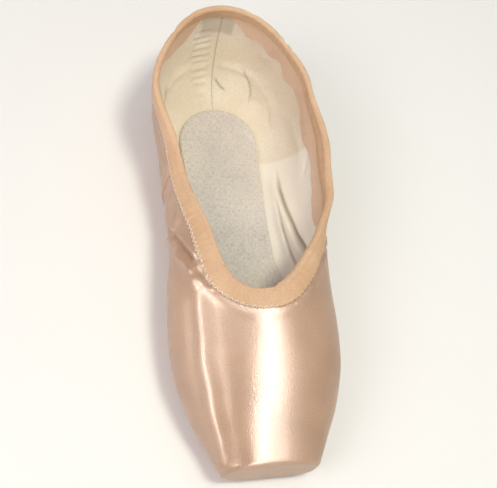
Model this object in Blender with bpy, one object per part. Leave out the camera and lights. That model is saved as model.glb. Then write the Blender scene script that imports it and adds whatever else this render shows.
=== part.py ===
"""A satin pointe shoe for ballet, standing empty and unbent on its leather sole.

The shoe is straight lasted, so it fits either foot. It is made of a hollow satin upper with a stiff
box and a flat platform at the toe, a binding folded over the collar, a leather outsole, a canvas
covered insole, two side seam bands and a strip over the back seam.

Frame: metres, +Z up, the toe towards -Y and the heel towards +Y, with the origin on the floor under
the middle of the shoe's box. The pieces are worked out with the last's middle plane at x = 0 and its
length centred on y = 0, and moved to the middle of the box at the end. A station is a distance from
the platform towards the heel. Behind the heel centre the sections fan round it: their turn goes from
a quarter turn at the side to 0 at the back.
"""

import math

import bmesh
import bpy
import numpy as np
from mathutils import Matrix
from mathutils.bvhtree import BVHTree

MM = 0.001

# Driving sizes of the last
LENGTH = 254 * MM  # platform to the back of the collar
HEEL_DEPTH = 54 * MM  # centre of the heel's turn to the back of the collar
BALL_WIDTH = 88 * MM  # widest part of the box
WAIST_WIDTH = 82 * MM  # collar at the waist
HEEL_WIDTH = 88 * MM  # slack collar at the heel
PLATFORM_WIDTH = 48 * MM
PLATFORM_HEIGHT = 26 * MM
PLATFORM_EDGE = 2 * MM  # radius round the platform
TOE_SPRING = 4.5 * MM  # lower edge of the platform above the floor
ARCH_RISE = 3.5 * MM  # sole above the floor at the arch
TOE_LIFT = 0.8 * MM  # of the underside where it rises to the platform
VAMP_LENGTH = 79 * MM  # platform to the throat
INSTEP_HEIGHT = 54 * MM  # ridge at the throat above the floor
WAIST_HEIGHT = 47 * MM  # lowest point of the topline above the floor
HEEL_HEIGHT = 63 * MM  # collar at the back above the floor

# How the slack quarters have settled, at the height of the topline
LEAN = 8 * MM  # of both quarters to +X at the waist
LEAN_STATION = 143 * MM
LEAN_REACH = 62 * MM  # to where the lean ends, each way along the shoe
CORNER_SLACK = 3 * MM  # of the collar's back corners towards the heel centre

# Walls, leathers and clearances
QUARTER_WALL = 1.6 * MM  # satin, canvas and lining
BOX_WALL = 3 * MM  # the same with the hardened box
PLATFORM_WALL = 6 * MM  # the block behind the platform
SOLE_THICKNESS = 2.8 * MM
SOLE_RIM = 1.4 * MM  # leather left at the skived rim
SOLE_SKIVE = 2.2 * MM  # width of the skived slope under the rim
CHANNEL_INSET = 3.2 * MM  # edge of the outsole to the middle of its stitch channel
CHANNEL_WIDTH = 1.2 * MM
CHANNEL_DEPTH = 0.5 * MM
INSOLE_THICKNESS = 3 * MM
BINDING_CLOTH = 0.8 * MM
BINDING_DEPTH = 8 * MM  # down each side of the collar
BAND_CLOTH = 0.6 * MM
BAND_WIDTH = 6.5 * MM
BACK_STRIP_WIDTH = 9 * MM
SOFT_EDGE = 0.6 * MM  # rounding along the edge of a board or a sole
GAP = 0.3 * MM
WELD = 0.01 * MM  # points nearer to each other than this are one
BINDING_EASE = 0.55 * MM  # between the binding and the wall in it

# Plan of the outsole, of the insole and of the upper's flat underside
SOLE_TOE_SETBACK = 22 * MM  # platform to the outsole
INSOLE_TOE_SETBACK = 15 * MM
SOLE_TOE_WIDTH = 36 * MM
SOLE_BALL_WIDTH = 50 * MM
SOLE_WAIST_WIDTH = 33 * MM
SOLE_HEEL_WIDTH = 38 * MM
LASTING_MARGIN = 6 * MM  # satin held between the outsole and the insole
TREAD_WIDTH_AT_HEEL = 47 * MM
TREAD_WIDTH_AT_WAIST = 42 * MM
TREAD_WIDTH_AT_BALL = 62 * MM
BAND_STATION = 155 * MM  # platform to the side seam at half height
BAND_SLANT = 7 * MM  # how much nearer the toe the seam is at its lower end

# How finely the form is divided
SIDE_POINTS = 15
FLAT_POINTS = 4  # of those, on the underside
PLATFORM_RINGS = (0.0, 0.4, 0.75)
QUARTER_ROWS = 16
LEG_POINTS = 4  # down each leg of the binding
FAN_ROWS = 10

HEEL_CENTRE = LENGTH - HEEL_DEPTH
UPPER_BOTTOM = SOLE_THICKNESS + GAP
SOLE_TOE_CURVE = 0.42 * SOLE_TOE_WIDTH  # how far the outsole's front end curves
OPENING_TOE = SOLE_TOE_SETBACK + LASTING_MARGIN
OPENING_CURVE = 0.42 * (SOLE_TOE_WIDTH - LASTING_MARGIN)
QUARTER_TURN = math.pi / 2


def section(along, half_width, tread, bottom, widest, ridge, low_power, high_power):
    """One row of the last: where it is, its half width, the half width of its flat underside, the
    heights of its underside, its widest point and its ridge, and how square its corners are."""
    return (along, half_width, tread, bottom, widest, ridge, low_power, high_power)


LAST = np.array([
    section(0.00 * HEEL_CENTRE, 0.500 * PLATFORM_WIDTH, 0.26 * PLATFORM_WIDTH, TOE_SPRING,
            TOE_SPRING + 0.45 * PLATFORM_HEIGHT, TOE_SPRING + PLATFORM_HEIGHT, 2.2, 2.8),
    section(0.07 * HEEL_CENTRE, 0.345 * BALL_WIDTH, 0.26 * TREAD_WIDTH_AT_BALL, UPPER_BOTTOM + TOE_LIFT,
            0.33 * INSTEP_HEIGHT, 0.68 * INSTEP_HEIGHT, 2.3, 2.6),
    section(0.15 * HEEL_CENTRE, 0.425 * BALL_WIDTH, 0.38 * TREAD_WIDTH_AT_BALL, UPPER_BOTTOM,
            0.36 * INSTEP_HEIGHT, 0.80 * INSTEP_HEIGHT, 2.3, 2.4),
    section(0.26 * HEEL_CENTRE, 0.488 * BALL_WIDTH, 0.48 * TREAD_WIDTH_AT_BALL, UPPER_BOTTOM,
            0.40 * INSTEP_HEIGHT, 0.915 * INSTEP_HEIGHT, 2.3, 2.3),
    section(0.34 * HEEL_CENTRE, 0.500 * BALL_WIDTH, 0.50 * TREAD_WIDTH_AT_BALL, UPPER_BOTTOM,
            0.43 * INSTEP_HEIGHT, 0.975 * INSTEP_HEIGHT, 2.3, 2.2),
    section(0.48 * HEEL_CENTRE, 0.486 * BALL_WIDTH, 0.45 * TREAD_WIDTH_AT_BALL,
            UPPER_BOTTOM + 0.25 * ARCH_RISE, 0.50 * INSTEP_HEIGHT, 1.045 * INSTEP_HEIGHT, 2.3, 2.2),
    section(0.60 * HEEL_CENTRE, 0.490 * WAIST_WIDTH, 0.53 * TREAD_WIDTH_AT_WAIST,
            UPPER_BOTTOM + 0.75 * ARCH_RISE, 0.66 * WAIST_HEIGHT, 1.08 * INSTEP_HEIGHT, 2.4, 2.4),
    section(0.72 * HEEL_CENTRE, 0.505 * WAIST_WIDTH, 0.50 * TREAD_WIDTH_AT_WAIST,
            UPPER_BOTTOM + 1.00 * ARCH_RISE, 0.74 * WAIST_HEIGHT, 1.36 * INSTEP_HEIGHT, 2.4, 2.2),
    section(0.86 * HEEL_CENTRE, 0.490 * HEEL_WIDTH, 0.48 * TREAD_WIDTH_AT_HEEL,
            UPPER_BOTTOM + 0.35 * ARCH_RISE, 0.76 * HEEL_HEIGHT, 1.50 * INSTEP_HEIGHT, 2.3, 2.2),
    section(1.00 * HEEL_CENTRE, 0.500 * HEEL_WIDTH, 0.50 * TREAD_WIDTH_AT_HEEL, UPPER_BOTTOM,
            0.90 * HEEL_HEIGHT, 1.60 * INSTEP_HEIGHT, 2.3, 2.2),
])
LAST_BACK = np.array(
    section(LENGTH, HEEL_DEPTH, 0.50 * TREAD_WIDTH_AT_HEEL, UPPER_BOTTOM, 0.92 * HEEL_HEIGHT,
            1.60 * INSTEP_HEIGHT, 2.5, 2.2))
COLUMNS = ("along", "half width", "tread", "bottom", "widest", "ridge", "low power", "high power")
TREAD, BOTTOM, RIDGE = (COLUMNS.index(name) for name in ("tread", "bottom", "ridge"))


def smooth(table, at):
    """The table's row at each place along its first column, on curves that never overshoot."""
    x = table[:, 0]
    step = np.diff(x)[:, None]
    rise = np.diff(table, axis=0) / step
    product, total = rise[:-1] * rise[1:], rise[:-1] + rise[1:]
    slope = np.zeros_like(table)
    slope[0] = rise[0]
    slope[1:-1] = np.where(product > 0, 2 * product / np.where(product > 0, total, 1), 0)
    at = np.atleast_1d(at)
    k = np.clip(np.searchsorted(x, at, side="right") - 1, 0, len(step) - 1)
    t = np.clip((at - x[k]) / step[k, 0], 0, 1)[:, None]
    between = table[k] * (1 + 2 * t) * (1 - t) ** 2 + table[k + 1] * t * t * (3 - 2 * t)
    return between + step[k] * (slope[k] * t * (1 - t) ** 2 - slope[k + 1] * t * t * (1 - t))


THROAT_HEIGHT = smooth(LAST, VAMP_LENGTH)[0, RIDGE]
OPEN_LENGTH = HEEL_CENTRE - VAMP_LENGTH

# Height of the topline: from the throat to the heel centre, then round the back
TOPLINE = np.array([
    (VAMP_LENGTH, THROAT_HEIGHT),
    (VAMP_LENGTH + 0.18 * OPEN_LENGTH, 0.20 * WAIST_HEIGHT + 0.80 * INSTEP_HEIGHT),
    (VAMP_LENGTH + 0.40 * OPEN_LENGTH, 0.70 * WAIST_HEIGHT + 0.30 * INSTEP_HEIGHT),
    (VAMP_LENGTH + 0.58 * OPEN_LENGTH, WAIST_HEIGHT),
    (VAMP_LENGTH + 0.80 * OPEN_LENGTH, 0.70 * WAIST_HEIGHT + 0.30 * HEEL_HEIGHT),
    (HEEL_CENTRE, 0.40 * WAIST_HEIGHT + 0.60 * HEEL_HEIGHT),
    (HEEL_CENTRE + 0.50 * HEEL_DEPTH, 0.18 * WAIST_HEIGHT + 0.82 * HEEL_HEIGHT),
    (LENGTH, HEEL_HEIGHT),
])
THROAT_SLOPE = 0.12  # least slope of the topline below the ridge, just behind the throat

# Half width of the outsole between its toe curve and the heel centre, and the same of the insole
OUTSOLE = np.array([
    (SOLE_TOE_SETBACK + SOLE_TOE_CURVE, 0.50 * SOLE_TOE_WIDTH),
    (0.34 * HEEL_CENTRE, 0.50 * SOLE_BALL_WIDTH),
    (0.46 * HEEL_CENTRE, 0.47 * SOLE_BALL_WIDTH),
    (0.70 * HEEL_CENTRE, 0.50 * SOLE_WAIST_WIDTH),
    (0.88 * HEEL_CENTRE, 0.48 * SOLE_HEEL_WIDTH),
    (1.00 * HEEL_CENTRE, 0.50 * SOLE_HEEL_WIDTH),
])
INSOLE = LAST[2:, [0, TREAD]] - (0, SOFT_EDGE)


def last_at(station, turn):
    """The last's section at a station, or at a turn round the heel centre."""
    if turn < QUARTER_TURN:
        return LAST[-1] * math.sin(turn) ** 2 + LAST_BACK * math.cos(turn) ** 2
    return smooth(LAST, station)[0]


def topline_height(station, turn):
    """Height of the collar's edge. It is beyond any ridge where the vamp is closed."""
    if station <= VAMP_LENGTH:
        return math.inf
    height = smooth(TOPLINE, station + HEEL_DEPTH * math.cos(turn))[0, 1]
    behind = min(station - VAMP_LENGTH, 0.1 * OPEN_LENGTH)
    return min(height, last_at(station, turn)[RIDGE] - THROAT_SLOPE * behind)


def evenly(line, count):
    """The same line with points at even distances."""
    along = np.r_[0, np.cumsum(np.linalg.norm(np.diff(line, axis=0), axis=1))]
    at = np.linspace(0, along[-1], count)
    return np.column_stack([np.interp(at, along, column) for column in line.T])


def half_section(row, start, top, count):
    """Points (outwards, up) of a section, from a distance out on its flat underside round its side
    up to a height. Below and above its widest point the side is a quarter of a superellipse."""
    _, half_width, tread, bottom, widest, ridge, low_power, high_power = row
    turn = np.linspace(0, QUARTER_TURN, 60)
    low_x = tread + (half_width - tread) * np.sin(turn) ** (2 / low_power)
    low_z = widest - (widest - bottom) * np.cos(turn) ** (2 / low_power)
    high_x = half_width * np.cos(turn[1:]) ** (2 / high_power)
    high_z = widest + (ridge - widest) * np.sin(turn[1:]) ** (2 / high_power)
    flat = np.linspace((min(start, tread), bottom), (tread, bottom), FLAT_POINTS)
    line = np.column_stack([np.r_[low_x, high_x], np.r_[low_z, high_z]])
    if top < ridge:
        edge = np.interp(top, line[:, 1], line[:, 0])
        line = np.vstack([line[line[:, 1] < top], (edge, top)])
    return np.vstack([flat[:-1], evenly(line, count - FLAT_POINTS + 1)])


def placed(flat, station, turn=QUARTER_TURN):
    """Section points (outwards, up) set in the shoe's frame, on its +X half."""
    out, up = flat.T
    return np.column_stack([out * math.sin(turn), station - LENGTH / 2 + out * math.cos(turn), up])


def mirrored(grid):
    """The other half of a grid, on -X."""
    return grid * (-1, 1, 1)


def outward(grid):
    """Unit normals of a grid whose rows go from the toe to the heel, each from its underside up."""
    normal = np.cross(np.gradient(grid, axis=0), np.gradient(grid, axis=1))
    return normal / np.maximum(np.linalg.norm(normal, axis=2), 1e-12)[..., None]


def half_plan(toe, toe_curve, widths, count):
    """Half outline of a sole in plan, as points (out, station) from its toe to its heel. Its front
    end is half an ellipse and its back end half a circle round the heel centre."""
    turn = np.linspace(0, QUARTER_TURN, count)
    stations = np.linspace(toe + toe_curve, HEEL_CENTRE, 2 * count)[1:-1]
    front, back = widths[0, 1], widths[-1, 1]
    outline = np.vstack([
        np.column_stack([front * np.sin(turn), toe + toe_curve * (1 - np.cos(turn))]),
        np.column_stack([smooth(widths, stations)[:, 1], stations]),
        np.column_stack([back * np.cos(turn), HEEL_CENTRE + back * np.sin(turn)]),
    ])
    outline[[0, -1], 0] = 0
    return outline


def inset(outline, distance):
    """A half outline moved inwards by a distance."""
    way = np.gradient(outline, axis=0)
    way[[0, -1]] = (1, 0), (-1, 0)
    way /= np.linalg.norm(way, axis=1)[:, None]
    inside = outline + distance * np.column_stack([-way[:, 1], way[:, 0]])
    inside[[0, -1], 0] = 0
    return inside


def underside(stations):
    """Height of the upper's flat underside."""
    return smooth(LAST, np.minimum(stations, HEEL_CENTRE))[:, BOTTOM]


def wall_at(stations):
    """Thickness of the upper: stiff round the box, soft in the quarters."""
    soft = np.clip((stations - 0.75 * VAMP_LENGTH) / (0.6 * VAMP_LENGTH), 0, 1)
    return BOX_WALL + (QUARTER_WALL - BOX_WALL) * soft * soft * (3 - 2 * soft)


def settled(points):
    """Points of the tidy form moved as the soft quarters have settled. The shift grows fast
    with the height: sideways round the waist, and inwards at the two back corners of the collar."""
    x, y, z = points[..., 0], points[..., 1], points[..., 2]
    away = np.clip((y + LENGTH / 2 - LEAN_STATION) / LEAN_REACH, -1, 1)
    lean = LEAN * (1 - away ** 2) ** 2 * (z / WAIST_HEIGHT) ** 3
    behind = np.maximum(y + LENGTH / 2 - HEEL_CENTRE, 0)
    reach = np.maximum(np.hypot(x, behind), MM)
    corner = CORNER_SLACK * (2 * x * behind / reach ** 2) ** 2 * (z / HEEL_HEIGHT) ** 2
    return np.stack([x * (1 - corner / reach) + lean, y - corner * behind / reach, z], axis=-1)


def solid(name, grids, colour, roughness):
    """One named closed object from grids of points, welded where their edges meet."""
    shape = bmesh.new()
    for grid in grids:
        rows = [[shape.verts.new(point) for point in row] for row in settled(grid).tolist()]
        for row, after in zip(rows, rows[1:]):
            for corners in zip(row, row[1:], after[1:], after):
                shape.faces.new(corners)
    bmesh.ops.remove_doubles(shape, verts=shape.verts, dist=WELD)
    bmesh.ops.recalc_face_normals(shape, faces=shape.faces)
    mesh = bpy.data.meshes.new(name)
    shape.to_mesh(mesh)
    shape.free()
    mesh.shade_smooth()
    mesh.set_sharp_from_angle(angle=math.radians(40))
    material = bpy.data.materials.new(name)
    material.use_nodes = True
    shader = material.node_tree.nodes["Principled BSDF"]
    shader.inputs["Base Color"].default_value = (*colour, 1)
    shader.inputs["Roughness"].default_value = roughness
    shader.inputs["Metallic"].default_value = 0
    mesh.materials.append(material)
    made = bpy.data.objects.new(name, mesh)
    bpy.context.scene.collection.objects.link(made)


def from_edge(start, length, count):
    """Stations behind a round edge, closest together at the edge."""
    return start + length * (np.arange(count + 1) / count) ** 2


def upper_stations():
    """Stations of the upper's sections from the platform's edge to the heel centre, and the places in
    that list of the front of the opening under the foot and of the throat."""
    box = np.r_[PLATFORM_EDGE, np.linspace(PLATFORM_WALL, OPENING_TOE, 5)[:-1]]
    opening = from_edge(OPENING_TOE, OPENING_CURVE, 5)
    vamp = np.linspace(opening[-1], VAMP_LENGTH, 7)[1:-1]
    throat = from_edge(VAMP_LENGTH, 0.2 * OPEN_LENGTH, 8)
    quarter = np.linspace(throat[-1], HEEL_CENTRE, QUARTER_ROWS + 1)[1:]
    before_throat = np.r_[box, opening, vamp]
    return np.r_[before_throat, throat, quarter], len(box), len(before_throat)


def shrunk(flat, share, inside=0.0):
    """A closed half section drawn in towards its middle by a share and by a distance all round."""
    middle = np.array([0, 0.5 * (flat[0, 1] + flat[-1, 1])])
    reach = flat - middle
    return middle + share * reach * (1 - inside / np.array([reach[:, 0].max(), reach[-1, 1]]))


def upper_grids():
    """Outer and inner surface of the upper's +X half, and the rows where its two openings start."""
    stations, opening, throat = upper_stations()
    closed = last_at(0, QUARTER_TURN), 0, math.inf, SIDE_POINTS
    outer = [placed(shrunk(half_section(*closed), ring, PLATFORM_EDGE), 0) for ring in PLATFORM_RINGS]
    for turn in np.radians((0, 30, 60)):
        station = PLATFORM_EDGE * (1 - math.cos(turn))
        flat = half_section(last_at(station, QUARTER_TURN), *closed[1:])
        outer.append(placed(shrunk(flat, 1, PLATFORM_EDGE * (1 - math.sin(turn))), station))
    front_rows = len(outer)
    under = inset(half_plan(SOLE_TOE_SETBACK, SOLE_TOE_CURVE, OUTSOLE, 60), LASTING_MARGIN)
    turns = np.r_[np.full(len(stations), QUARTER_TURN), np.linspace(QUARTER_TURN, 0, FAN_ROWS + 1)[1:]]
    for station, turn in zip(np.r_[stations, np.full(FAN_ROWS, HEEL_CENTRE)], turns):
        behind = station > OPENING_TOE
        start = 0.5 * SOLE_HEEL_WIDTH - LASTING_MARGIN
        if turn == QUARTER_TURN:
            start = np.interp(station, under[:, 1], under[:, 0]) if behind else 0
        flat = half_section(last_at(station, turn), start, topline_height(station, turn), SIDE_POINTS)
        outer.append(placed(flat, station, turn))
    outer = np.array(outer)
    opening, throat = opening + front_rows, throat + front_rows
    normal = outward(outer)
    normal[: throat + 1, -1, 0] = 0
    normal[: opening + 1, 0, 0] = 0
    normal[-1, :, 0] = 0
    normal /= np.maximum(np.linalg.norm(normal, axis=2), 1e-12)[..., None]
    inner = outer - normal * wall_at(outer[:, :1, 1:2] + LENGTH / 2)
    block = front_rows + 1
    for row in range(block + 1):
        inner[row] = placed(shrunk(inner[block][:, ::2], row / block), PLATFORM_WALL)
    return outer, inner, opening, throat


def make_upper(outer, inner, opening, throat):
    """The hollow satin upper, open at the collar and under the foot."""
    half = [
        outer,
        inner,
        np.stack([outer[throat:, -1], inner[throat:, -1]]),
        np.stack([outer[opening:, 0], inner[opening:, 0]]),
    ]
    solid("upper", half + [mirrored(grid) for grid in half], (0.83, 0.56, 0.43), 0.3)


def board(name, outline, top, steps, colour, roughness):
    """A sole that follows the upper's underside. Each step is a distance in from its outline and one
    down from its top, which lies a height above the underside."""
    rings = []
    for inwards, down in steps:
        out, station = inset(outline, inwards).T
        rings.append(np.column_stack([out, station - LENGTH / 2, underside(station) + top(station) - down]))
    half = np.array(rings)
    across = [np.stack([ring, mirrored(ring)]) for ring in (half[0], half[-1])]
    solid(name, [half, mirrored(half), *across], colour, roughness)


def make_outsole():
    """The leather outsole, skived to a thin rim, with the channel that its stitches lie in."""
    outline = half_plan(SOLE_TOE_SETBACK, SOLE_TOE_CURVE, OUTSOLE, 10)
    steps = (
        (SOFT_EDGE, 0),
        (0, 0.5 * SOFT_EDGE),
        (0, SOLE_RIM),
        (SOLE_SKIVE, SOLE_THICKNESS),
        (CHANNEL_INSET - 0.5 * CHANNEL_WIDTH, SOLE_THICKNESS),
        (CHANNEL_INSET, SOLE_THICKNESS - CHANNEL_DEPTH),
        (CHANNEL_INSET + 0.5 * CHANNEL_WIDTH, SOLE_THICKNESS),
    )
    board("outsole", outline, lambda station: np.full(len(station), -GAP), steps, (0.55, 0.35, 0.14), 0.55)


def make_insole():
    """The canvas covered insole, which lies on the upper's turned in margin."""
    outline = half_plan(INSOLE_TOE_SETBACK, INSOLE[0, 0] - INSOLE_TOE_SETBACK, INSOLE, 9)
    steps = (
        (SOFT_EDGE, 0),
        (0, SOFT_EDGE),
        (0, INSOLE_THICKNESS - SOFT_EDGE),
        (SOFT_EDGE, INSOLE_THICKNESS),
    )
    board("insole", outline, lambda station: wall_at(station) + GAP + INSOLE_THICKNESS, steps,
          (0.55, 0.48, 0.42), 0.85)


def on_form(surface, points):
    """The nearest points of a grid's surface."""
    count, across, _ = surface.shape
    corners = np.arange(count * across).reshape(count, across)
    faces = np.stack([corners[:-1, :-1], corners[:-1, 1:], corners[1:, 1:], corners[1:, :-1]], axis=-1)
    tree = BVHTree.FromPolygons(surface.reshape(-1, 3).tolist(), faces.reshape(-1, 4).tolist())
    nearest = [tree.find_nearest(point)[0] for point in points.reshape(-1, 3).tolist()]
    return np.array(nearest).reshape(points.shape)


def make_binding(outer, inner, throat):
    """Satin folded over the collar: two legs that follow the wall, and a crown round its edge."""
    rim, lining = outer[throat:, -1], inner[throat:, -1]
    along = np.gradient(rim, axis=0)
    along[[0, -1]] = (1, 0, 0), (-1, 0, 0)
    along /= np.linalg.norm(along, axis=1)[:, None]
    out = rim - lining
    wall = np.linalg.norm(out, axis=1)[:, None]
    out /= wall
    down = np.cross(along, out)
    depths = np.linspace(BINDING_DEPTH, 0, LEG_POINTS)[:, None, None]
    legs = []
    for edge, surface in ((rim, outer), (lining, inner)):
        leg = on_form(surface, edge + down * depths)
        leg[-1] = edge
        leg[:, [0, -1], 0] = 0
        legs.append(leg.transpose(1, 0, 2))
    ways = [outward(leg) for leg in legs]
    for way in ways:
        way[:, -1] = out
        way[[0, -1], :, 0] = 0
    turn = np.radians((45, 90, 135))[:, None, None]
    around = out * np.cos(turn) - down * np.sin(turn)
    sheets = []
    for lift in (BINDING_EASE + BINDING_CLOTH, BINDING_EASE):
        crown = 0.5 * (rim + lining) + around * (0.5 * wall + lift)
        sheets.append(np.concatenate([
            legs[0] + ways[0] * lift,
            crown.transpose(1, 0, 2),
            (legs[1] - ways[1] * lift)[:, ::-1],
        ], axis=1))
    ring = np.concatenate([sheets[0], sheets[1][:, ::-1], sheets[0][:, :1]], axis=1)
    ring[[0, -1], :, 0] = 0
    solid("binding", [ring, mirrored(ring)], (0.84, 0.55, 0.34), 0.3)


def overlay(lines, thickness):
    """Grids of a strip that lies on the upper, from lines on the form, each from its lower end up."""
    lines = np.array(lines)
    way = outward(lines)
    near, far = lines + way * GAP, lines + way * (GAP + thickness)
    ends = [np.stack([near[:, k], far[:, k]]) for k in (0, -1)]
    return [near, far, np.stack([near[0], far[0]]), np.stack([near[-1], far[-1]]), *ends]


def strip_line(station, turn, sole_edge, count):
    """A line up the outside of the form, from beside the outsole to below the binding."""
    top = topline_height(station, turn) - BINDING_DEPTH - 2 * GAP
    return half_section(last_at(station, turn), sole_edge + 2 * GAP, top, count)


def make_side_seam_bands():
    """The topstitched bands over the side seams, a little nearer the toe at their lower end."""
    lines = []
    for aside in np.linspace(-0.5, 0.5, 4) * BAND_WIDTH:
        middle = BAND_STATION + aside
        low = middle - 0.5 * BAND_SLANT
        ends = np.linspace(low, low + BAND_SLANT, 14)
        sole_edge = smooth(OUTSOLE, low)[0, 1]
        lines.append([
            placed(strip_line(station, QUARTER_TURN, sole_edge, 14)[[k]], station)[0]
            for k, station in enumerate(ends)
        ])
    grids = overlay(lines, BAND_CLOTH)
    solid("side_seam_band_left", grids, (0.82, 0.54, 0.41), 0.3)
    solid("side_seam_band_right", [mirrored(grid) for grid in grids], (0.82, 0.54, 0.41), 0.3)


def make_back_seam_strip():
    """The strip over the seam at the back of the heel, narrower towards the sole."""
    half_turn = 0.5 * BACK_STRIP_WIDTH / HEEL_DEPTH
    half = [
        placed(strip_line(HEEL_CENTRE, turn, 0.5 * SOLE_HEEL_WIDTH, 14), HEEL_CENTRE, turn)
        for turn in (half_turn, 0.5 * half_turn, 0)
    ]
    other = [mirrored(line) for line in half[1::-1]]
    solid("back_seam_strip", overlay(half + other, BAND_CLOTH), (0.82, 0.54, 0.41), 0.3)


def centre_on_origin():
    """Move every piece so that the middle of the shoe's box stands over the origin."""
    meshes = [made.data for made in bpy.data.objects]
    corners = np.array([corner.co for mesh in meshes for corner in mesh.vertices])
    middle = 0.5 * (corners.min(axis=0) + corners.max(axis=0))
    for mesh in meshes:
        mesh.transform(Matrix.Translation((-middle[0], -middle[1], 0)))


def main():
    """Make every piece in an empty scene."""
    for old in list(bpy.data.objects):
        bpy.data.objects.remove(old)
    outer, inner, opening, throat = upper_grids()
    make_upper(outer, inner, opening, throat)
    make_binding(outer, inner, throat)
    make_outsole()
    make_insole()
    make_side_seam_bands()
    make_back_seam_strip()
    centre_on_origin()


main()
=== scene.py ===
# %% [markdown]
# # A satin pointe shoe
# A ballet shoe stands empty on its leather sole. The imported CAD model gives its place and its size, and
# each soft piece is made again here on a finer grid, with its folds, stitches and cloth. Shapes are
# worked out in millimetres, and the mesh maker turns them into metres.

# %% The frame
import math

import bmesh
import bpy
import numpy as np
from mathutils import Matrix, Vector
from mathutils.bvhtree import BVHTree


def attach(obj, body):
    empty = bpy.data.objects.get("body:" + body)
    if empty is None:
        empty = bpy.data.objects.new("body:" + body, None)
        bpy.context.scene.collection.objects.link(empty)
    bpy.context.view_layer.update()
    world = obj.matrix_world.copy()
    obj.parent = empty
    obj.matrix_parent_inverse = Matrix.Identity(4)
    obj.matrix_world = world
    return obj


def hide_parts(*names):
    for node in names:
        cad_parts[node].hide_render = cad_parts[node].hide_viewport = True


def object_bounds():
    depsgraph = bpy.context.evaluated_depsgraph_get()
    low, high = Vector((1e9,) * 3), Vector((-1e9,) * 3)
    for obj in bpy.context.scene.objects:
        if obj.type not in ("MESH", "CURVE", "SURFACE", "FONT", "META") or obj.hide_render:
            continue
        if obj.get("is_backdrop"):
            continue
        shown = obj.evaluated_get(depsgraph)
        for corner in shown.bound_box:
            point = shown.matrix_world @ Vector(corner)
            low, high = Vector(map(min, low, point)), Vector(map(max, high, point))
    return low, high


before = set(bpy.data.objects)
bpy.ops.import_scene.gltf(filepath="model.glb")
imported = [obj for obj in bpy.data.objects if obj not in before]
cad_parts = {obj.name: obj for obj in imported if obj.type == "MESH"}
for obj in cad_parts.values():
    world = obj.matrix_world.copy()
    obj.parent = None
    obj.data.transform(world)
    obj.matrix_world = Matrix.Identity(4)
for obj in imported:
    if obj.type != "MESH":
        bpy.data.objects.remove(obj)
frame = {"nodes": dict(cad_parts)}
cad_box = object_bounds()
print("CAD nodes:", ", ".join(frame["nodes"]))

# %% [markdown]
# ## The camera and the light come first
# The camera looks down from the toe's left, rolled as a hand holds it. A key light high on the right and
# a soft one on the left only light the shapes. Three more only shine, because satin shows its lights as
# clear bands: a long strip down the vamp, a narrow one at the box's left edge, and a small one along the
# collar.

# %% Camera, lights and floor
scene = bpy.context.scene
scene.view_settings.view_transform = "Standard"


def placed(name, data):
    """A new object in the scene."""
    made = bpy.data.objects.new(name, data)
    scene.collection.objects.link(made)
    return made


def aimed(place, target, roll=0.0):
    """A matrix that stands at a place and looks at a target, in metres, turned about its own view."""
    way = Vector(target) - Vector(place)
    turn = way.to_track_quat("-Z", "Y").to_matrix() @ Matrix.Rotation(math.radians(roll), 3, "Z")
    return Matrix.Translation(place) @ turn.to_4x4()


def softbox(name, place, target, size, watts, colour, shines, roll=0.0):
    """A rectangular studio light that either fills the shapes or shines in the satin."""
    lamp = bpy.data.lights.new(name, "AREA")
    lamp.shape, (lamp.size, lamp.size_y) = "RECTANGLE", size
    lamp.energy, lamp.color = watts, colour
    made = placed(name, lamp)
    made.matrix_world = aimed(place, target, roll)
    made.visible_diffuse, made.visible_glossy = not shines, shines


lens = bpy.data.cameras.new("camera")
lens.lens, lens.sensor_width = 64.67, 36.0
camera = placed("camera", lens)
camera.matrix_world = aimed((-0.1160, -0.2237, 0.4385), (0.0023, -0.0038, 0.0200), roll=23.47)
scene.camera = camera

softbox("key_light", (0.20, -0.20, 1.15), (0, 0, 0), (0.25, 0.25), 6.0, (1.0, 1.0, 0.84), False)
softbox("fill_light", (-0.80, -0.35, 0.80), (0, 0, 0), (0.6, 0.6), 3.9, (1.0, 0.86, 0.84), False)
softbox("vamp_strip", (0.219, -0.45, 0.95), (0, -0.08, 0.05), (0.05, 1.7), 21.0, (1.0, 0.98, 0.95), True, -44)
softbox("left_strip", (-0.77, -0.15, 0.64), (0, -0.06, 0.03), (0.02, 1.1), 20.0, (1.0, 0.98, 0.96), True, 90)
softbox("collar_light", (0.22, 0.42, 0.95), (0, -0.05, 0.05), (0.25, 0.3), 7.0, (1.0, 0.98, 0.95), True)

sky = bpy.data.worlds.new("studio_sky")
scene.world = sky
sky.use_nodes = True
for key, value in (("Color", (0.97, 0.96, 0.97, 1)), ("Strength", 0.42)):
    sky.node_tree.nodes["Background"].inputs[key].default_value = value

floor_mesh = bpy.data.meshes.new("floor")
floor_mesh.from_pydata([(-3, -3, 0), (3, -3, 0), (3, 3, 0), (-3, 3, 0)], [], [(0, 1, 2, 3)])
floor = placed("floor", floor_mesh)
floor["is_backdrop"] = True
print("camera at", tuple(round(v, 3) for v in camera.location))

# %% [markdown]
# ## The last
# A shoe takes its form from a last. The CAD model describes it by ten sections along the foot, each a
# superellipse above and below its widest point, with smooth curves between them. A sculpted mesh could
# look the same, but the same sections put the cloth where the solids lie.

# %% The sections of the last, in millimetres
LENGTH, HEEL_DEPTH = 254.0, 54.0
HEEL_CENTRE = LENGTH - HEEL_DEPTH
BACK = 284.8  # the back seam, measured along the shoe and round the heel
VAMP_LENGTH = 79.0
OPEN_LENGTH = HEEL_CENTRE - VAMP_LENGTH
WAIST_HEIGHT, HEEL_HEIGHT = 47.0, 63.0
PLATFORM_EDGE, PLATFORM_WALL = 2.0, 6.0
MIDDLE = np.array([-2.94, -LENGTH / 2 - 0.61, 0.0])  # platform, middle plane and floor in the frame

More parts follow.
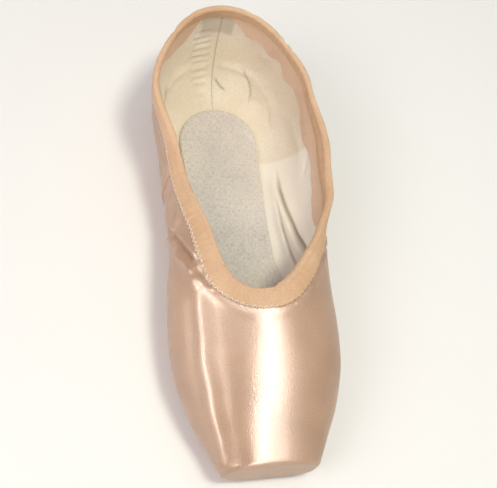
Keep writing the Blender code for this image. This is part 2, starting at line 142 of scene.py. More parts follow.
LAST = np.array([
    # station, half width, flat half width, underside, widest height, ridge, how square low and high
    (0, 24.00, 12.48, 4.500, 16.20, 30.50, 2.2, 2.8),
    (14, 30.36, 16.12, 3.900, 17.82, 36.72, 2.3, 2.6),
    (30, 37.40, 23.56, 3.100, 19.44, 43.20, 2.3, 2.4),
    (52, 42.94, 29.76, 3.100, 21.60, 49.41, 2.3, 2.3),
    (68, 44.00, 31.00, 3.100, 23.22, 52.65, 2.3, 2.2),
    (96, 42.77, 27.90, 3.975, 27.00, 56.43, 2.3, 2.2),
    (120, 40.18, 22.26, 5.725, 31.02, 58.32, 2.4, 2.4),
    (144, 41.41, 21.00, 6.600, 34.78, 73.44, 2.4, 2.2),
    (172, 43.12, 22.56, 4.325, 47.88, 81.00, 2.3, 2.2),
    (200, 44.00, 23.50, 3.100, 56.70, 86.40, 2.3, 2.2),
])
LAST_BACK = np.array([254, 54.00, 23.50, 3.100, 57.96, 86.40, 2.5, 2.2])


def smooth(table, at):
    """The table's row at each place along its first column, on cubic curves that never overshoot."""
    x = table[:, 0]
    step = np.diff(x)[:, None]
    rise = np.diff(table, axis=0) / step
    product, total = rise[:-1] * rise[1:], rise[:-1] + rise[1:]
    slope = np.zeros_like(table)
    slope[0] = rise[0]
    slope[1:-1] = np.where(product > 0, 2 * product / np.where(product > 0, total, 1), 0)
    k = np.clip(np.searchsorted(x, at, side="right") - 1, 0, len(step) - 1)
    t = np.clip((at - x[k]) / step[k, 0], 0, 1)[:, None]
    between = table[k] * (1 + 2 * t) * (1 - t) ** 2 + table[k + 1] * t * t * (3 - 2 * t)
    return between + step[k] * (slope[k] * t * (1 - t) ** 2 - slope[k + 1] * t * t * (1 - t))


TOPLINE = np.array([
    (79, smooth(LAST, np.array([VAMP_LENGTH]))[0, 5]), (100.78, 52.60), (127.40, 49.10), (149.18, 47.00),
    (175.80, 51.80), (200, 56.60), (227, 60.12), (254, 63.00),
])
print("throat at", TOPLINE[0].round(1), "mm")


# %% Small helpers
def ease(t):
    """0 below 0, 1 above 1, and a soft step between."""
    t = np.clip(t, 0, 1)
    return t * t * (3 - 2 * t)


def bell(distance, width):
    """1 at no distance, and e to the power of minus the square of distance over width elsewhere."""
    return np.exp(-((distance / width) ** 2))


def dot(first, second):
    """Scalar products of vectors."""
    return (first * second).sum(-1)


def unit(vectors):
    """Vectors brought to length one."""
    return vectors / np.maximum(np.linalg.norm(vectors, axis=-1, keepdims=True), 1e-12)


def running(line):
    """Length from the start of a line to each of its points. A grid has one line in each row."""
    steps = np.linalg.norm(np.diff(line, axis=-2), axis=-1)
    return np.concatenate([np.zeros_like(steps[..., :1]), np.cumsum(steps, axis=-1)], axis=-1)


# %% [markdown]
# ## Rows and columns
# The upper could be one net round the whole foot, but a grid on each side keeps the middle line exact.
# Its rows start as rings on the flat platform, go round its edge and back along the last, and fan round
# the heel. Its columns go from the flat underside up to the ridge, or to the collar's edge.

# %% The rows of the upper
def near_start(start, length, count):
    """Places that start close together and open out."""
    return start + length * (np.arange(count + 1) / count) ** 2


SOLE_FROM = 28  # station where the opening under the foot begins
ring_shares = np.sqrt(np.linspace(0, 1, 12)[:-1])
edge_turns = np.radians(np.arange(0, 90, 18))
stations = np.r_[
    PLATFORM_EDGE, np.linspace(3.2, SOLE_FROM, 22)[:-1], near_start(SOLE_FROM, 12.6, 8),
    np.linspace(SOLE_FROM + 12.6, VAMP_LENGTH, 28)[1:-1], near_start(VAMP_LENGTH, 0.2 * OPEN_LENGTH, 20),
    np.linspace(VAMP_LENGTH + 0.2 * OPEN_LENGTH, HEEL_CENTRE, 62)[1:],
]
fan_turns = np.linspace(math.pi / 2, 0, 48)[1:]

front = len(ring_shares) + len(edge_turns)
row_station = np.r_[
    np.zeros(len(ring_shares)), PLATFORM_EDGE * (1 - np.cos(edge_turns)), stations,
    np.full(len(fan_turns), HEEL_CENTRE),
]
row_turn = np.r_[np.full(front + len(stations), math.pi / 2), fan_turns]
row_share = np.r_[ring_shares, np.ones(len(row_station) - len(ring_shares))]
row_inside = np.r_[
    np.full(len(ring_shares), PLATFORM_EDGE), PLATFORM_EDGE * (1 - np.sin(edge_turns)),
    np.zeros(len(stations) + len(fan_turns)),
]
along = row_station + HEEL_DEPTH * (math.pi / 2 - row_turn)
throat = front + int(np.searchsorted(stations, VAMP_LENGTH))
opening = front + int(np.searchsorted(stations, SOLE_FROM))
FLAT, SIDE = 16, 86
print(len(row_station), "rows, throat at row", throat, "and", FLAT + SIDE, "columns")

# %% [markdown]
# ## The flat plans of the soles
# Both soles are plans with an elliptical toe and a round heel. They could be drawn by hand, but from a
# formula the soles and the upper's edge, which is turned in and held between them, share one line.

# %% Plans
OUTSOLE = np.array([(37.12, 18.0), (68, 25.0), (92, 23.5), (140, 16.5), (176, 18.24), (200, 19.0)])
OUTSOLE_TOE, INSOLE_TOE = (22, 15.12), (15, 15)  # where the toe starts, and the depth of its curve
INSOLE = LAST[2:, [0, 2]] - (0, 0.6)
TURNED_IN = 6  # how far the upper's edge reaches in over the outsole


def half_plan(toe, toe_curve, widths, count):
    """Half outline of a sole as points (out, station): half an ellipse, a smooth side, half a circle."""
    turn = np.linspace(0, math.pi / 2, count)
    side = np.linspace(toe + toe_curve, HEEL_CENTRE, 3 * count)[1:-1]
    outline = np.vstack([
        np.column_stack([widths[0, 1] * np.sin(turn), toe + toe_curve * (1 - np.cos(turn))]),
        np.column_stack([smooth(widths, side)[:, 1], side]),
        np.column_stack([widths[-1, 1] * np.cos(turn), HEEL_CENTRE + widths[-1, 1] * np.sin(turn)]),
    ])
    outline[[0, -1], 0] = 0
    return outline


def inset(outline, distance):
    """A half outline moved inwards by a distance, square to itself."""
    way = np.gradient(outline, axis=0)
    way[[0, -1]] = (1, 0), (-1, 0)
    inside = outline + distance * unit(way)[:, ::-1] * (-1, 1)
    inside[[0, -1], 0] = 0
    return inside


def underside(station):
    """Height of the upper's flat underside."""
    return smooth(LAST, np.minimum(station, HEEL_CENTRE))[:, 3]


turned_in = inset(half_plan(*OUTSOLE_TOE, OUTSOLE, 60), TURNED_IN)
print("the upper is open within", turned_in.max(axis=0).round(1), "mm")

# %% [markdown]
# ## The form as a function of two parameters
# Each row is half a section: quarters of superellipses up to the ridge or the topline. Equal angles
# would crowd the points at the corners, so they are measured out evenly by length, for all rows at once.

# %% The bare form
def topline(station, turn, ridge):
    """Height of the collar's edge, kept just under the ridge behind the throat."""
    height = smooth(TOPLINE, station + HEEL_DEPTH * np.cos(turn))[:, 1]
    height = np.minimum(height, ridge - 0.12 * np.minimum(station - VAMP_LENGTH, 0.1 * OPEN_LENGTH))
    return np.where(station <= VAMP_LENGTH + 1e-9, 1e9, height)


def between(whole, lines, at):
    """Values of each row's lines where its running length is at, by straight interpolation."""
    k = np.clip((whole[:, None, :] <= at[:, :, None]).sum(-1) - 1, 0, whole.shape[1] - 2)
    low, high = np.take_along_axis(whole, k, 1), np.take_along_axis(whole, k + 1, 1)
    t = np.clip((at - low) / np.maximum(high - low, 1e-9), 0, 1)
    return [np.take_along_axis(line, k, 1) * (1 - t) + np.take_along_axis(line, k + 1, 1) * t for line in lines]


def bare_form():
    """Points of the +X half before it settles: columns from the flat underside up to the edge."""
    share = (np.sin(row_turn) ** 2)[:, None]
    rows = smooth(LAST, row_station) * share + LAST_BACK * (1 - share)
    _, half, flat, low, widest, ridge, square_low, square_high = rows.T[..., None]
    turn = np.linspace(0, math.pi / 2, 110)
    x = np.concatenate([flat + (half - flat) * np.sin(turn) ** (2 / square_low),
                        half * np.cos(turn[1:]) ** (2 / square_high)], axis=1)
    z = np.concatenate([widest - (widest - low) * np.cos(turn) ** (2 / square_low),
                        widest + (ridge - widest) * np.sin(turn[1:]) ** (2 / square_high)], axis=1)
    whole = running(np.stack([x, z], axis=-1))
    top = topline(row_station, row_turn, ridge[:, 0])[:, None]
    used = np.clip((top - z[:, :-1]) / np.maximum(np.diff(z), 1e-9), 0, 1)
    reach = (np.diff(whole) * used).sum(axis=1)[:, None] * np.linspace(0, 1, SIDE)
    side_x, side_z = between(whole, (x, z), reach)
    start = np.where(row_station > SOLE_FROM, np.interp(row_station, turned_in[:, 1], turned_in[:, 0]), 0)
    start = np.where(row_turn < math.pi / 2, OUTSOLE[-1, 1] - TURNED_IN, start)[:, None]
    flat_x = start + (flat - start) * np.linspace(0, 1, FLAT + 1)[:-1]
    out = np.concatenate([flat_x, side_x], axis=1)
    up = np.concatenate([low + 0 * flat_x, side_z], axis=1)
    middle, inside, ring = 0.5 * (up[:, :1] + up[:, -1:]), row_inside[:, None], row_share[:, None]
    out = out * ring * (1 - inside / out.max(axis=1, keepdims=True))
    up = middle + ring * (up - middle) * (1 - inside / (up[:, -1:] - middle))
    sine, cosine = np.sin(row_turn)[:, None], np.cos(row_turn)[:, None]
    return np.stack([out * sine, row_station[:, None] + out * cosine, up], axis=-1)


def form_normals(grid):
    """Unit normals of a grid whose rows run from the toe and whose columns run up the +X side, turned
    into the middle plane where the two halves meet."""
    normal = unit(np.cross(np.gradient(grid, axis=0), np.gradient(grid, axis=1)))
    normal[:len(ring_shares)] = (0, -1, 0)
    normal[:throat + 1, -1, 0] = 0
    normal[:opening + 1, 0, 0] = 0
    normal[-1, :, 0] = 0
    return unit(normal)


FORM = bare_form()
NORMAL = form_normals(FORM)
RUN, OUT, UP = along[:, None], FORM[..., 0], FORM[..., 2]  # of each point: along the shoe, out and up
print("form spans", FORM.reshape(-1, 3).min(axis=0).round(1), "to", FORM.reshape(-1, 3).max(axis=0).round(1))

# %% [markdown]
# ## Folds placed one by one
# Soft quarters crease where they meet the stiff box, at the waist and round the heel, and the satin is
# gathered into pleats where it is drawn under the sole. A cloth simulation would make other creases,
# and this satin is pasted to a stiff shell, so each crease is placed from the photograph: a path of
# places (along the shoe, height) with a bell shaped trough across it and a low ridge on either side.

# %% Places on a grid
def tiles(rows, columns):
    """Corner numbers of the squares of a grid."""
    corner = np.arange(rows * columns).reshape(rows, columns)
    return np.stack([corner[:-1, :-1], corner[:-1, 1:], corner[1:, 1:], corner[1:, :-1]], -1).reshape(-1, 4)


def sampled(grids, row, column):
    """Values of grids at fractional rows and columns, by straight interpolation both ways."""
    rows, columns = grids[0].shape[:2]
    row, column = np.broadcast_arrays(row, np.clip(column, 0, columns - 1))
    r, c = np.minimum(row.astype(int), rows - 2), np.minimum(column.astype(int), columns - 2)
    a, b = (row - r)[..., None], (column - c)[..., None]
    return [(g[r, c] * (1 - a) + g[r + 1, c] * a) * (1 - b)
            + (g[r, c + 1] * (1 - a) + g[r + 1, c + 1] * a) * b for g in grids]


def row_at(run):
    """Fractional row of the form at a distance along it."""
    return np.interp(run, along[front:], np.arange(front, len(along)))


def nearest_on(grid, points):
    """Fractional rows and columns of the places of a grid that lie nearest to points."""
    tree = BVHTree.FromPolygons(grid.reshape(-1, 3).tolist(), tiles(*grid.shape[:2]).tolist())
    found = [tree.find_nearest(point) for point in points.reshape(-1, 3).tolist()]
    place, cell = np.array([f[0] for f in found]), np.array([f[2] for f in found])
    r, c = cell // (grid.shape[1] - 1), cell % (grid.shape[1] - 1)
    away, down, across = place - grid[r, c], grid[r + 1, c] - grid[r, c], grid[r, c + 1] - grid[r, c]
    aa, ab, bb = dot(down, down), dot(down, across), dot(across, across)
    a, b, whole = dot(away, down), dot(away, across), np.maximum(aa * bb - ab * ab, 1e-12)
    rows = r + np.clip((bb * a - ab * b) / whole, 0, 1)
    columns = c + np.clip((aa * b - ab * a) / whole, 0, 1)
    return rows.reshape(points.shape[:-1]), columns.reshape(points.shape[:-1])


def spots(path):
    """Points of the bare form at places (along the shoe, height), filled in every few millimetres."""
    path = np.array(path, float)
    gaps = running(path)
    at = np.linspace(0, gaps[-1], max(2, int(gaps[-1] / 6) + 1))
    run, up = np.interp(at, gaps, path[:, 0]), np.interp(at, gaps, path[:, 1])
    rows, across = row_at(run), np.arange(FLAT, FLAT + SIDE, dtype=float)
    heights = sampled([FORM], rows[:, None], across[None])[0][..., 2]
    columns = np.array([np.interp(h, line, across) for h, line in zip(up, heights)])
    return sampled([FORM], rows, columns)[0]


# %% Folds of the satin
DEPTH = 8.0  # of the collar's binding at the throat
BELOW_EDGE = np.linalg.norm(FORM[:, :, None] - FORM[throat:, -1], axis=-1).min(axis=-1)  # how far below the collar

SATIN_FOLDS = {
    # for each side: a path, its width and depth, and how far the crease takes to fade if not 4 mm
    -1: (
        ([(106, 40), (99, 45), (93, 46.8), (84.8, 47.6), (60, 44.2), (36.8, 38.9), (14.9, 30.6), (3, 24)],
         3.4, -0.8, 0.1),
        ([(130, 26), (119, 36), (112.8, 40.4), (107, 43.5), (101, 46)], 1.6, 2.6),
        ([(108, 43.4), (97.8, 47.4), (91, 49.4), (84.8, 50.6)], 1.2, 0.9),
        ([(112, 35), (107.5, 38.6), (103, 42.4), (99, 44.8), (93, 46.2), (85, 46.8)], 1.7, -1.15),
        ([(137, 40), (134, 30), (131, 18)], 4.0, 2.0),
        ([(128, 42), (124, 38), (120, 30)], 1.6, 0.9),
        ([(152, 36), (146, 26), (140, 12)], 4.0, 0.7),
        ([(160, 30), (185, 22), (205, 24)], 5.0, 0.9),
        ([(190, 42), (208, 36), (226, 40)], 5.0, 0.8),
        ([(222, 14), (246, 19), (BACK, 20)], 3.2, 1.1),
        ([(247, 60), (245, 53), (244, 44), (247, 36), (251, 28)], 3.2, 1.3, 9.0),
    ),
    1: (
        ([(112, 40), (104, 46), (97, 49)], 1.4, 1.0),
        ([(124, 38), (118, 28), (116, 16)], 4.0, 1.6),
        ([(140, 34), (138, 22)], 5.0, 0.6),
        ([(160, 22), (180, 30), (200, 28)], 5.0, 0.9),
        ([(176, 42), (200, 44), (214, 38)], 4.0, 0.7),
        ([(218, 15), (250, 20), (BACK, 20)], 3.2, 1.1),
        ([(240, 60), (241, 54), (245, 46), (251, 39), (258, 33)], 3.0, 1.5, 9.0),
        ([(70, 43), (40, 36)], 8.0, -0.3),
    ),
}

print(sum(len(folds) for folds in SATIN_FOLDS.values()), "folds, up to", BELOW_EDGE.max().round(1), "mm below the edge")


# %% Creases
def away_from(path):
    """Distance in space of each point of the form from a path on it, and how far from the path's
    nearer end it lies along it, in millimetres."""
    line = spots(path)
    way, length = np.diff(line, axis=0), running(line)
    here = FORM[..., None, :] - line[:-1]
    t = np.clip(dot(here, way) / np.maximum(dot(way, way), 1e-9), 0, 1)
    away = np.linalg.norm(here - t[..., None] * way, axis=-1)
    place = length[:-1] + t * np.diff(length)
    piece = away.argmin(axis=-1)[..., None]
    away, place = (np.take_along_axis(values, piece, -1)[..., 0] for values in (away, place))
    return away, np.minimum(place, length[-1] - place)


def crease(path, width, depth, fade=4.0):
    """A trough of that depth where the path passes, with a low ridge along each side, that fades out
    towards the path's ends. A negative depth makes a ridge."""
    away, end = away_from(path)
    return depth * (0.3 * bell(away - 2 * width, width) - bell(away, width)) * ease(0.15 + end / fade)


def leg_depth(run):
    """Depth of the collar's binding at a distance along the shoe: full at the throat, less behind it."""
    return DEPTH - 2.2 * ease((run - 92) / 40)


# %% Pleats, ripples and puckers
def pleats(form):
    """Small gathers under the toe and the heel: they fan out from the sole's round ends and fade up
    the wall, uneven in spacing and in depth."""
    x, y, z = form[..., 0], form[..., 1], form[..., 2]
    total = np.zeros_like(x)
    for centre, sign, top, count in ((46.0, -1, 13.0, 44), (HEEL_CENTRE, 1, 17.0, 40)):
        turn = np.arctan2(x, sign * (y - centre))
        wave = np.sin(count * turn + 1.7 * np.sin(5 * turn) + 0.8 * np.sin(11 * turn + 1))
        uneven = 0.6 + 0.4 * np.sin(7 * turn + 2) * np.sin(3 * turn)
        fade = ease((top - z) / (top - 3)) * ease((sign * (y - centre) + 4) / 14)
        total += 0.42 * uneven * fade * (np.abs(wave) ** 1.5 * np.sign(wave) - 0.3)
    side = ease((10 - z) / 6) * ease((y - 40) / 20) * ease((HEEL_CENTRE - y) / 20)
    return total + 0.16 * side * np.sin(y * 1.35 + 1.2 * np.sin(y * 0.31))


def satin_folds(side):
    """How far the satin stands off the bare form on one side, in millimetres. Beyond the listed folds
    the quarters ripple, and the satin is a little full and puckered along the binding."""
    total = sum(crease(*fold) for fold in SATIN_FOLDS[side])
    total += 0.35 * ease((RUN - 96) / 30) * np.sin(RUN / 9.0 + UP / 14.0 + side) * np.sin(UP / 11.0 + RUN / 31.0)
    total *= ease(OUT / 5.0)
    below = BELOW_EDGE - leg_depth(RUN)
    full = 0.65 + (0.5 * bell(RUN - 86, 10) * ease((OUT - 4) / 8) if side < 0 else 0)
    total += full * bell(below - 3.2, 2.2) * (0.75 + 0.25 * np.sin(RUN / 4.1))
    puckers = np.sin(RUN * 1.05 + below * 0.2 + 1.5 * np.sin(RUN / 6.0)) * (0.6 + 0.4 * np.sin(RUN / 7.0 + 1))
    deep = 0.24 + 0.2 * ease((125 - RUN) / 10) * ease((RUN - 90) / 8)
    total += deep * ease((RUN - 78) / 8) * ease((170 - RUN) / 50) * bell(below - 4, 5) * puckers
    return (total + pleats(FORM)) * (row_share * ease(row_station / 3))[:, None]


# %% How the quarters settle
LEAN, WAIST, WAIST_REACH = 8, 143, 62
SLACK, CORNER_SLACK = 3.8, 0.8


def settled(points):
    """Points of the tidy form moved as the soft quarters have settled, as in the CAD model: a lean to
    +X round the waist and slack at the collar's back corners, growing with the height."""
    x, y, z = points[..., 0], points[..., 1], points[..., 2]
    away = np.clip((y - WAIST) / WAIST_REACH, -1, 1)
    lean = LEAN * (1 - away ** 2) ** 2 * (z / WAIST_HEIGHT) ** 3
    behind = np.maximum(y - HEEL_CENTRE, 0)
    reach = np.maximum(np.hypot(x, behind), 1)
    diagonal = 2 * x * behind / reach ** 2
    corner = (SLACK + CORNER_SLACK * diagonal) * diagonal ** 2 * (z / HEEL_HEIGHT) ** 2
    return np.stack([x * (1 - corner / reach) + lean, y - corner * behind / reach, z], axis=-1)


SKIN = {side: FORM + NORMAL * satin_folds(side)[..., None] for side in (-1, 1)}
for side, skin in SKIN.items():
    print("side", side, "folds reach", np.linalg.norm(skin - FORM, axis=2).max().round(2), "mm")

# %% [markdown]
# ## The lining
# Cream cotton is pasted to the satin, on a wall that is thick at the box and thin in the quarters. It
# could repeat the satin's folds, but cotton comes loose in its own places: in a long fold on the right,
# a ladder of small gathers down a tape beside the back seam, and short creases round the heel.

# %% Folds of the lining
FLAPS = (  # paths, widths and heights
    ([(182, 6.5), (165, 7.5), (147, 10), (130, 13), (120, 17)], 7.0, 3.6),
    ([(160, 6.5), (148, 7.5), (130, 7.8), (114, 8.5)], 3.0, 1.8),
)
LONG_LINE = (264, 24), (260, 19), (254.5, 15), (250.5, 11), (248, 6.5)
SEAM_LINE = (283.5, 13), (280.5, 10), (276.5, 8), (272, 7)
SHORT_LINE = (240, 22), (236, 16), (231, 12)
LINING_FOLDS = {
    -1: (
        ([(170, 10), (140, 11), (118, 12)], 4.0, -1.4),
        ([(214, 40), (224, 26), (222, 12)], 6.0, -1.2),
        ([(246, 34), (240, 16)], 5.0, -0.9),
        (SHORT_LINE, 1.2, 0.6, 7.0),
        ([(166, 36), (152, 12)], 1.2, 0.6, 7.0),
    ),
    1: (
        ([(198, 34), (214, 20), (222, 10)], 6.0, -1.2),
        ([(238, 30), (246, 20), (244, 10)], 5.0, -0.9),
        (LONG_LINE, 1.2, 0.6, 7.0),
        ([(173, 36), (162, 26)], 1.2, 0.6, 7.0),
    ),
}


# %% The wall and the lining's inner face
BOX_WALL, QUARTER_WALL = 3.0, 1.6


def wall_at(station):
    """Thickness of the wall: the box's, easing down to the quarters' past the ball of the foot."""
    return BOX_WALL - (BOX_WALL - QUARTER_WALL) * ease((station - 59.25) / 47.4)


def flap(path, width, height):
    """A fold that rises slowly from below up to the path and drops behind it into a narrow valley: how
    far it stands inwards, and how much shade is painted into the valley."""
    path = np.array(path, float)
    above = away_from(path)[0] * np.sign(UP - np.interp(RUN, path[::-1, 0], path[::-1, 1]))
    whole = ease((path[0, 0] - RUN) / 22) * ease((RUN - path[-1, 0] + 6) / 6)
    rise, valley = bell(above, np.where(above < 0, width, 0.9)), bell(above - 1.9, 1.1)
    return whole * (height * rise - 0.9 * valley), whole * valley


def lining_folds(side):
    """How far the lining stands inwards of its place, in millimetres."""
    total = sum(crease(*fold) for fold in LINING_FOLDS[side])
    if side > 0:
        total = total + sum(flap(*fold)[0] for fold in FLAPS)
    else:
        tape = ease((BACK - 4.5 - RUN) / 2) * ease((RUN - (BACK - 16)) / 2) * ease((BELOW_EDGE - 14) / 3)
        ladder = np.sin(BELOW_EDGE * 2 * math.pi / 4.8 + 0.6 * np.sin(BELOW_EDGE * 0.5))
        total = total + tape * (0.3 + 0.5 * ladder)
    total += 0.3 * ease((RUN - 100) / 40) * np.sin(RUN / 7.3 + UP / 6.1) * np.sin(UP / 8.3 - RUN / 23.0)
    edge = np.minimum(np.arange(FLAT + SIDE)[::-1] / 12.0, 1)
    return total * ease((row_station[:, None] - 70) / 40) * ease(edge) * ease((BACK - RUN) / 4)


def inner_grid(side):
    """The lining's inner face. At the toe it is the back of the block that stands behind the platform."""
    folds = dot(SKIN[side] - FORM, NORMAL)
    lift = np.where(folds > -0.8, 0.4 * folds, folds + 0.48) - wall_at(FORM[:, :1, 1]) - lining_folds(side)
    inner = FORM + NORMAL * np.minimum(lift, folds - 1.1)[..., None]
    block = front + int(np.searchsorted(stations, PLATFORM_WALL)) + 1
    shares = (np.arange(block + 1) / block)[:, None, None]
    base = inner[block]
    middle = np.array([0, 0, 0.5 * (base[0, 2] + base[-1, 2])])
    disc = middle + shares * (base - middle) * (1, 0, 1)
    disc[..., 1] = PLATFORM_WALL + (base[:, 1] - PLATFORM_WALL) * shares[..., 0] ** 4
    inner[:block + 1] = disc
    return inner


INNER = {side: inner_grid(side) for side in (-1, 1)}
print("the lining reaches", min(grid[..., 2].min() for grid in INNER.values()).round(2), "mm above the floor")

# %% [markdown]
# ## Makers of meshes
# A piece is built from grids of points, each with a map of the cloth's own length and width. Faces could
# be added one by one, but whole arrays are quicker, and welding the points that meet closes the piece.

# %% Meshes from grids
def cloth_map(grid):
    """Length along the rows and the columns of a grid, in millimetres, as its own flat map."""
    u, v = running(grid.swapaxes(0, 1)).mean(axis=0)[:, None], running(grid)
    return np.stack([u + 0 * v, v - v[:, -1:]], axis=-1)


def mesh_of(name, points, faces, flat=None, marks=None, weld=0.004):
    """One object at the origin from points in millimetres of the shoe's own frame and faces that number
    them. Marks are values from 0 to 1 at each point that materials read by name."""
    mesh = bpy.data.meshes.new(name)
    mesh.from_pydata((points + MIDDLE) * 0.001, [], faces)
    if flat is not None:
        mesh.uv_layers.new(name="cloth").data.foreach_set("uv", flat[faces.ravel()].ravel())
    for key, values in (marks or {}).items():
        mesh.attributes.new(key, "FLOAT", "POINT").data.foreach_set("value", values)
    shape = bmesh.new()
    shape.from_mesh(mesh)
    bmesh.ops.remove_doubles(shape, verts=shape.verts, dist=weld * 0.001)
    bmesh.ops.recalc_face_normals(shape, faces=shape.faces)
    shape.to_mesh(mesh)
    open_edges = sum(1 for edge in shape.edges if not edge.is_manifold)
    shape.free()
    mesh.shade_smooth()
    print(f"{name}: {sum(len(p.vertices) - 2 for p in mesh.polygons)} triangles, {open_edges} open edges")
    return placed(name, mesh)


def piece_of(name, grids, maps=None, marks=None):
    """A piece from grids that each have a flat map, with sharp edges where it turns by over 50 degrees."""
    starts = np.cumsum([0] + [grid[..., 0].size for grid in grids])
    faces = np.concatenate([tiles(*grid.shape[:2]) + start for grid, start in zip(grids, starts)])
    points = np.concatenate([grid.reshape(-1, 3) for grid in grids])
    flat = np.concatenate([m.reshape(-1, 2) for m in maps or [cloth_map(grid) for grid in grids]])
    marks = {key: np.concatenate([v.ravel() for v in values]) for key, values in (marks or {}).items()}
    made = mesh_of(name, points, faces, flat, marks)
    made.data.set_sharp_from_angle(angle=math.radians(50))
    return made


def flipped(grid, side):
    """A grid of one side set on that side of the shoe, settled."""
    return settled(grid * (side, 1, 1))


def lifted(side, points, ways):
    """A grid and its normals set on their side of the settled shoe."""
    grid = flipped(points, side)
    return grid, unit(flipped(points + ways, side) - grid)


# %% [markdown]
# ## The satin and the lining
# They are two pieces, because they are two cloths. A modifier could thicken one sheet, but here the two
# faces fold differently, so each cloth is a closed shell of two grids, joined at the collar and round
# the opening under the foot.

# %% The two shells of the upper
def shell(name, faces_out, faces_in, **inner_marks):
    """A closed shell from an outer and an inner grid of each side, with strips along its two edges.
    Marks are given for the inner faces as functions of the side, and are 0 elsewhere."""
    grids, maps, marks = [], [], {key: [] for key in inner_marks}
    for side in (-1, 1):
        outer, inner = faces_out[side], faces_in[side]
        sheet = cloth_map(outer)
        sheet = sheet - (sheet[-1, 0, 0], 0)
        parts = [(outer, sheet), (inner, sheet)]
        for edge in (np.s_[throat:, -1], np.s_[opening:, 0]):
            parts.append((np.stack([outer[edge], inner[edge]]), sheet[edge][None].repeat(2, 0)))
        for grid, m in parts:
            grids.append(flipped(grid, side))
            maps.append(m * (1, side))
            for key, mark in inner_marks.items():
                marks[key].append(mark(side) if grid is inner else np.zeros(grid.shape[:2]))
    return piece_of(name, grids, maps, marks)


def heel_patch(side):
    """A painted shadow at the top of the back, from the tape on one side to just past the seam."""
    reach = 14.5 if side < 0 else 9.0
    wander = 0.8 * np.sin(BELOW_EDGE / 3.1) + 0.5 * np.sin(RUN / 2.3)
    return ease((reach - (BACK - RUN) + wander) / 1.8) * ease((21 - BELOW_EDGE + wander) / 2.4)


def paler_front(side):
    """Where the lining is paler: at the front, up to a slanting line that is the same on either side."""
    return ease((180 - 0.3 * (UP - 25) - RUN) / 1.5)


def painted_fold_shade(side):
    """Painted shade on the lining: in the valleys behind its folds, and along its sharp creases."""
    if side < 0:
        return -crease(SHORT_LINE, 1.2, 0.6, 7.0).clip(-1, 0)
    valleys = flap(*FLAPS[0])[1] + 0.6 * flap(*FLAPS[1])[1]
    lines = crease(LONG_LINE, 0.9, 0.6, 8.0).clip(-1, 0) + crease(SEAM_LINE, 0.8, 0.8).clip(-1, 0)
    return np.clip(valleys - lines, 0, 1)


SATIN_BACK, COTTON_BACK = 0.45, 0.5  # how deep the backs of the two cloths lie under the satin's face
satin_back, cotton_back = ({side: SKIN[side] - NORMAL * deep for side in SKIN} for deep in (SATIN_BACK, COTTON_BACK))
satin_upper = shell("satin_upper", SKIN, satin_back)
# Marks on the lining: a painted shadow at the top of the back, painted shade in its fold valleys and creases, and a
# paler front.
lining = shell("cotton_lining", cotton_back, INNER, patch=heel_patch, fold=painted_fold_shade, pale=paler_front)

# %% [markdown]
# ## The collar's binding
# A strip of satin is folded over the collar's edge, full and a little puckered. A bevelled curve would
# be an even tube, so each section is worked out from the wall that it grips: it swells in the middle of
# each leg and is pressed flat at its edge. Its ends overlap at the throat on the right, and it is
# pinched in a few places round the heel.

# %% The binding
LEG, CROWN = 14, 13
PINCHES = {-1: ((206, 0.4), (247, 0.8), (262, 0.4)), 1: ((232, 0.5), (240.5, 1.0), (247, 0.5), (268, 0.4))}


def below_edge(grid, edge, down, depth):
    """Places of a grid that lie at depths below its edge, square to it, and the normals there."""
    places = nearest_on(grid, edge[:, None] + down[:, None] * depth[..., None])
    points, ways = sampled([grid, NORMAL], *places)
    points[[0, -1], :, 0] = 0
    ways[[0, -1], :, 0] = 0
    return points, unit(ways)


def edge_frame(side):
    """The collar's edge on the satin and on the lining, the way out through the wall, and the way down."""
    rim, lining_rim = SKIN[side][throat:, -1], INNER[side][throat:, -1]
    out = unit(rim - lining_rim)
    tangent = np.gradient(rim, axis=0)
    tangent[[0, -1]] = (1, 0, 0), (-1, 0, 0)
    return rim, lining_rim, out, np.cross(unit(tangent), out)


